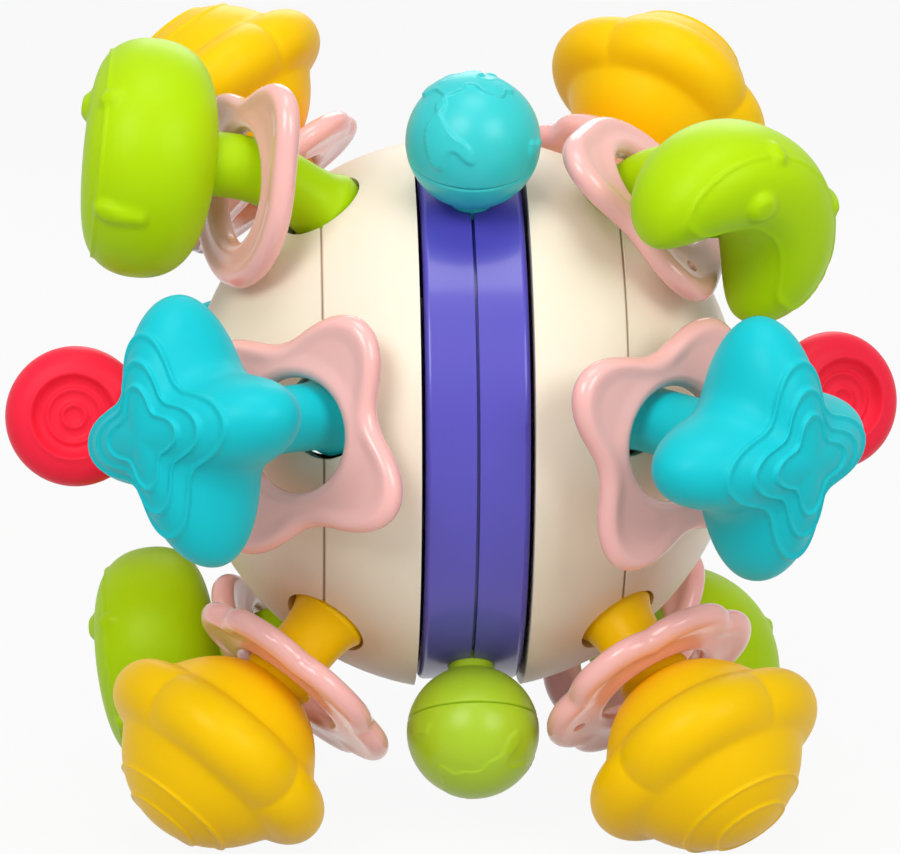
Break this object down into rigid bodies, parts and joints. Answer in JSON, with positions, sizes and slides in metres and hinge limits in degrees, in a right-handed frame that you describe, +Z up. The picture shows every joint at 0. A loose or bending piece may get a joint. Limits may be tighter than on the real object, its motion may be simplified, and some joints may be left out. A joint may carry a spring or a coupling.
{
  "type": "sensory ball",
  "caption": "Round baby toy with a turning track of beads around its middle and soft star, moon, planet and disc teethers that bend, with loose rings on their stems.",
  "frame": {"origin": "on the floor plane, right below the centre of the ball", "axes": "+X along the axis that the track turns about, to the right as seen from the front; +Z up; the front faces -Y"},
  "size_m": [0.1406, 0.1396, 0.123],
  "materials": {
    "shell": "satin",
    "track": "glossy",
    "turquoise_bead": "glossy",
    "lime_bead": "glossy",
    "yellow_bead": "glossy",
    "star": "soft satin",
    "moon": "soft satin",
    "planet": "soft satin",
    "disc": "soft satin",
    "loose_ring": "satin",
    "screw": "plain"
  },
  "bodies": {
    "ball": {"left_band": "shell", "left_cap": "shell", "right_band": "shell", "right_cap": "shell", "hub_screws": "screw"},
    "track": {"track_left": "track", "track_right": "track"},
    "top_bead": {"top_bead_dome": "turquoise_bead", "top_bead_base": "turquoise_bead"},
    "bottom_bead": {"bottom_bead_dome": "lime_bead", "bottom_bead_base": "lime_bead"},
    "back_bead": {"back_bead_dome": "yellow_bead", "back_bead_base": "yellow_bead"},
    "left_front_star": {"left_front_star": "star"},
    "left_top_moon": {"left_top_moon": "moon"},
    "left_top_planet": {"left_top_planet": "planet"},
    "left_back_star": {"left_back_star": "star"},
    "left_low_moon": {"left_low_moon": "moon"},
    "left_front_planet": {"left_front_planet": "planet"},
    "right_front_star": {"right_front_star": "star"},
    "right_top_moon": {"right_top_moon": "moon"},
    "right_top_planet": {"right_top_planet": "planet"},
    "right_back_star": {"right_back_star": "star"},
    "right_low_moon": {"right_low_moon": "moon"},
    "right_front_planet": {"right_front_planet": "planet"},
    "left_disc": {"left_disc": "disc"},
    "right_disc": {"right_disc": "disc"},
    "left_front_star_ring": {"left_front_star_ring": "loose_ring"},
    "left_top_moon_ring": {"left_top_moon_ring": "loose_ring"},
    "left_top_planet_ring": {"left_top_planet_ring": "loose_ring"},
    "left_back_star_ring": {"left_back_star_ring": "loose_ring"},
    "left_low_moon_ring": {"left_low_moon_ring": "loose_ring"},
    "left_front_planet_ring": {"left_front_planet_ring": "loose_ring"},
    "right_front_star_ring": {"right_front_star_ring": "loose_ring"},
    "right_top_moon_ring": {"right_top_moon_ring": "loose_ring"},
    "right_top_planet_ring": {"right_top_planet_ring": "loose_ring"},
    "right_back_star_ring": {"right_back_star_ring": "loose_ring"},
    "right_low_moon_ring": {"right_low_moon_ring": "loose_ring"},
    "right_front_planet_ring": {"right_front_planet_ring": "loose_ring"}
  },
  "joints": [
    {"name": "track_turn", "type": "hinge", "parent": "ball", "child": "track", "pos_m": [0, 0, 0.0606], "axis": [1, 0, 0], "continuous": true},
    {"name": "top_bead_spin", "type": "hinge", "parent": "track", "child": "top_bead", "pos_m": [0, -0.025, 0.1039], "axis": [0, -0.5, 0.866], "continuous": true},
    {"name": "bottom_bead_spin", "type": "hinge", "parent": "track", "child": "bottom_bead", "pos_m": [0, -0.025, 0.0173], "axis": [0, -0.5, -0.866], "continuous": true},
    {"name": "back_bead_spin", "type": "hinge", "parent": "track", "child": "back_bead", "pos_m": [0, 0.05, 0.0606], "axis": [0, 1, 0], "continuous": true},
    {"name": "left_front_star_bend", "type": "hinge", "parent": "ball", "child": "left_front_star", "pos_m": [-0.02183, -0.03533, 0.0662], "axis": [0.2638, -0.3078, -0.9142], "range_deg": [-19, 8], "stiffness_Nm_per_rad": 0.6},
    {"name": "left_top_moon_bend", "type": "hinge", "parent": "ball", "child": "left_top_moon", "pos_m": [-0.02183, -0.01282, 0.09399], "axis": [0.0595, -0.9443, -0.3236], "range_deg": [-26, 1], "stiffness_Nm_per_rad": 0.6},
    {"name": "left_top_planet_bend", "type": "hinge", "parent": "ball", "child": "left_top_planet", "pos_m": [-0.02183, 0.02251, 0.0884], "axis": [0.7798, -0.0166, 0.6258], "range_deg": [-26, 5], "stiffness_Nm_per_rad": 0.6},
    {"name": "left_back_star_bend", "type": "hinge", "parent": "ball", "child": "left_back_star", "pos_m": [-0.02183, 0.03533, 0.055], "axis": [0, 0.1564, 0.9877], "range_deg": [-11, 14], "stiffness_Nm_per_rad": 0.6},
    {"name": "left_low_moon_bend", "type": "hinge", "parent": "ball", "child": "left_low_moon", "pos_m": [-0.02183, 0.01282, 0.02721], "axis": [-0.0447, 0.9225, 0.3833], "range_deg": [-28, 2], "stiffness_Nm_per_rad": 0.6},
    {"name": "left_front_planet_bend", "type": "hinge", "parent": "ball", "child": "left_front_planet", "pos_m": [-0.02183, -0.02251, 0.03281], "axis": [0.6462, 0.2596, -0.7177], "range_deg": [-15, 8], "stiffness_Nm_per_rad": 0.6},
    {"name": "right_front_star_bend", "type": "hinge", "parent": "ball", "child": "right_front_star", "pos_m": [0.02183, -0.03533, 0.0662], "axis": [0.6539, 0.4947, 0.5724], "range_deg": [-28, 8], "stiffness_Nm_per_rad": 0.6},
    {"name": "right_top_moon_bend", "type": "hinge", "parent": "ball", "child": "right_top_moon", "pos_m": [0.02183, -0.01282, 0.09399], "axis": [0.7466, 0.6159, -0.2516], "range_deg": [-18, 2], "stiffness_Nm_per_rad": 0.6},
    {"name": "right_top_planet_bend", "type": "hinge", "parent": "ball", "child": "right_top_planet", "pos_m": [0.02183, 0.02251, 0.0884], "axis": [0.0744, -0.8028, 0.5916], "range_deg": [-24, 18], "stiffness_Nm_per_rad": 0.6},
    {"name": "right_back_star_bend", "type": "hinge", "parent": "ball", "child": "right_back_star", "pos_m": [0.02183, 0.03533, 0.055], "axis": [0, -0.1564, -0.9877], "range_deg": [-11, 14], "stiffness_Nm_per_rad": 0.6},
    {"name": "right_low_moon_bend", "type": "hinge", "parent": "ball", "child": "right_low_moon", "pos_m": [0.02183, 0.01282, 0.02721], "axis": [0.7798, -0.5503, 0.2985], "range_deg": [-28, 2], "stiffness_Nm_per_rad": 0.6},
    {"name": "right_front_planet_bend", "type": "hinge", "parent": "ball", "child": "right_front_planet", "pos_m": [0.02183, -0.02251, 0.03281], "axis": [0.0744, 0.8028, -0.5916], "range_deg": [-16, 2], "stiffness_Nm_per_rad": 0.6},
    {"name": "left_disc_bend", "type": "hinge", "parent": "ball", "child": "left_disc", "pos_m": [-0.0419, 0, 0.0606], "axis": [0, -0.1564, -0.9877], "range_deg": [-25, 22], "stiffness_Nm_per_rad": 0.6},
    {"name": "right_disc_bend", "type": "hinge", "parent": "ball", "child": "right_disc", "pos_m": [0.0419, 0, 0.0606], "axis": [0, -0.0698, 0.9976], "range_deg": [-28, 2], "stiffness_Nm_per_rad": 0.6},
    {"name": "left_front_star_ring_slide", "type": "slide", "parent": "left_front_star", "child": "left_front_star_ring", "axis": [-0.7245, -0.6889, 0.0229], "range_m": [-0.00025, 0.008]},
    {"name": "left_top_moon_ring_slide", "type": "slide", "parent": "left_top_moon", "child": "left_top_moon_ring", "axis": [-0.9482, -0.1548, 0.2774], "range_m": [0, 0.0025]},
    {"name": "left_top_planet_ring_slide", "type": "slide", "parent": "left_top_planet", "child": "left_top_planet_ring", "axis": [-0.6056, 0.2334, 0.7608], "range_m": [-0.003, 0.001]},
    {"name": "left_back_star_ring_slide", "type": "slide", "parent": "left_back_star", "child": "left_back_star_ring", "axis": [-0.6612, 0.7409, -0.1174], "range_m": [-0.0005, 0.008]},
    {"name": "left_low_moon_ring_slide", "type": "slide", "parent": "left_low_moon", "child": "left_low_moon_ring", "axis": [-0.9375, 0.0938, -0.3351], "range_m": [-0.002, 0.002]},
    {"name": "left_front_planet_ring_slide", "type": "slide", "parent": "left_front_planet", "child": "left_front_planet_ring", "axis": [-0.633, -0.3429, -0.694], "range_m": [-0.001, 0.00075]},
    {"name": "right_front_star_ring_slide", "type": "slide", "parent": "right_front_star", "child": "right_front_star_ring", "axis": [0.652, -0.7523, -0.0946], "range_m": [-0.00275, 0.0055]},
    {"name": "right_top_moon_ring_slide", "type": "slide", "parent": "right_top_moon", "child": "right_top_moon_ring", "axis": [0.6545, -0.6119, 0.4441], "range_m": [-0.001, 0.0005]},
    {"name": "right_top_planet_ring_slide", "type": "slide", "parent": "right_top_planet", "child": "right_top_planet_ring", "axis": [0.4603, 0.5539, 0.6937], "range_m": [-0.001, 0.0025]},
    {"name": "right_back_star_ring_slide", "type": "slide", "parent": "right_back_star", "child": "right_back_star_ring", "axis": [0.6612, 0.7409, -0.1174], "range_m": [-0.0005, 0.008]},
    {"name": "right_low_moon_ring_slide", "type": "slide", "parent": "right_low_moon", "child": "right_low_moon_ring", "axis": [0.6222, 0.6289, -0.4662], "range_m": [-0.003, 0.0015]},
    {"name": "right_front_planet_ring_slide", "type": "slide", "parent": "right_front_planet", "child": "right_front_planet_ring", "axis": [0.4603, -0.5539, -0.6937], "range_m": [-0.00025, 0.00075]}
  ]
}
